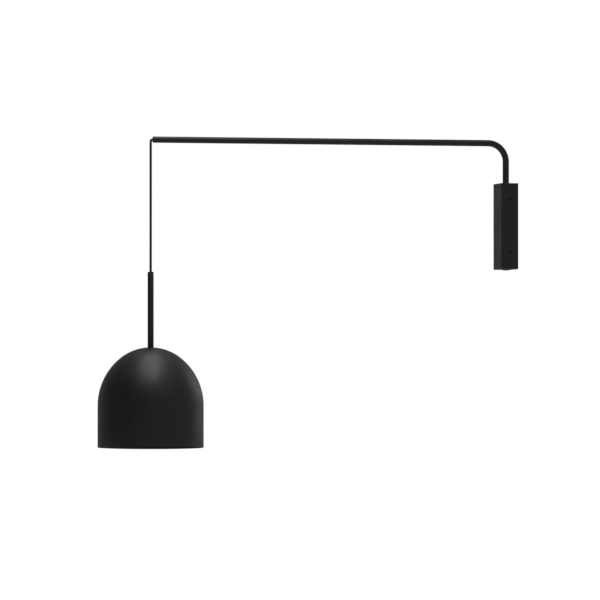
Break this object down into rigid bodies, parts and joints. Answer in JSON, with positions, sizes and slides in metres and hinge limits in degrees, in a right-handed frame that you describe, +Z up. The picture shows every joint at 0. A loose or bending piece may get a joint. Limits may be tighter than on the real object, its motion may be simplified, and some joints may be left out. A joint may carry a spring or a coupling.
{
  "type": "hanging pendant wall sconce",
  "caption": "Slim black wall box with a long swivelling tube arm that carries a domed bell shade on a fabric cord and a stem.",
  "frame": {"origin": "middle of the wall box's rear face, on the wall", "axes": "+Z up, +Y into the wall, so the arm reaches out along -Y; +X to the right as seen from the room"},
  "size_m": [0.2, 0.81, 0.5867],
  "materials": {
    "box_coat": "matte black powder coat",
    "arm_coat": "matte black powder coat",
    "shade_coat": "matte black powder coat, inside and outside",
    "stem_coat": "matte black powder coat",
    "zinc_steel": "satin zinc plate",
    "black_steel": "satin black oxide",
    "black_plastic": "matte moulded nylon",
    "bakelite": "satin moulded phenolic",
    "white_plastic": "matte moulded nylon",
    "glaze": "matte fired steatite",
    "brass": "satin",
    "nickel": "satin nickel plate",
    "black_rubber": "matte",
    "cord_braid": "matte woven braid",
    "core_insulation": "matte coloured insulation",
    "opal_glass": "satin opal"
  },
  "bodies": {
    "wall_base": {"wall_bracket": "zinc_steel", "weld_nuts": "zinc_steel", "cover_box": "box_coat", "cover_screws": "black_steel", "top_bush": "black_plastic", "bottom_bush": "black_plastic", "thrust_washer": "white_plastic", "cable_grommet": "black_rubber", "terminal_block": "white_plastic", "terminal_screws": "brass", "cord_saddle": "white_plastic", "saddle_screws": "zinc_steel", "earth_screw": "brass", "swivel_lead": "cord_braid", "lead_cores": "core_insulation"},
    "arm": {"arm_tube": "arm_coat", "lower_collar": "zinc_steel", "upper_collar": "zinc_steel", "collar_screws": "black_steel", "tube_end_plug": "black_plastic", "mouth_bush": "black_plastic", "arm_cord": "cord_braid"},
    "cord_exit": {"cord_bend": "cord_braid"},
    "pendant": {"cord_drop": "cord_braid", "stem_plug": "black_plastic", "stem_tube": "stem_coat", "stem_nipple": "zinc_steel", "shade": "shade_coat", "shade_washer": "zinc_steel", "shade_nut": "zinc_steel", "lampholder_cap": "bakelite", "lampholder_body": "bakelite", "lampholder_insert": "glaze", "centre_contact": "brass", "screw_shell": "brass", "cord_grip": "white_plastic", "stem_cord": "cord_braid", "lamp_leads": "core_insulation", "bulb_cap": "nickel", "bulb_globe": "opal_glass"}
  },
  "joints": [
    {"name": "arm_swivel", "type": "hinge", "parent": "wall_base", "child": "arm", "pos_m": [0, -0.0165, 0], "axis": [0, 0, 1], "range_deg": [-80, 80], "deforming": ["swivel_lead"]},
    {"name": "cord_roll", "type": "hinge", "parent": "arm", "child": "cord_exit", "pos_m": [0, -0.7055, 0.1574], "axis": [0, 1, 0], "range_deg": [-40, 40]},
    {"name": "cord_swing", "type": "hinge", "parent": "cord_exit", "child": "pendant", "pos_m": [0, -0.71, 0.1529], "axis": [1, 0, 0], "range_deg": [-40, 40], "deforming": ["cord_bend"]}
  ]
}
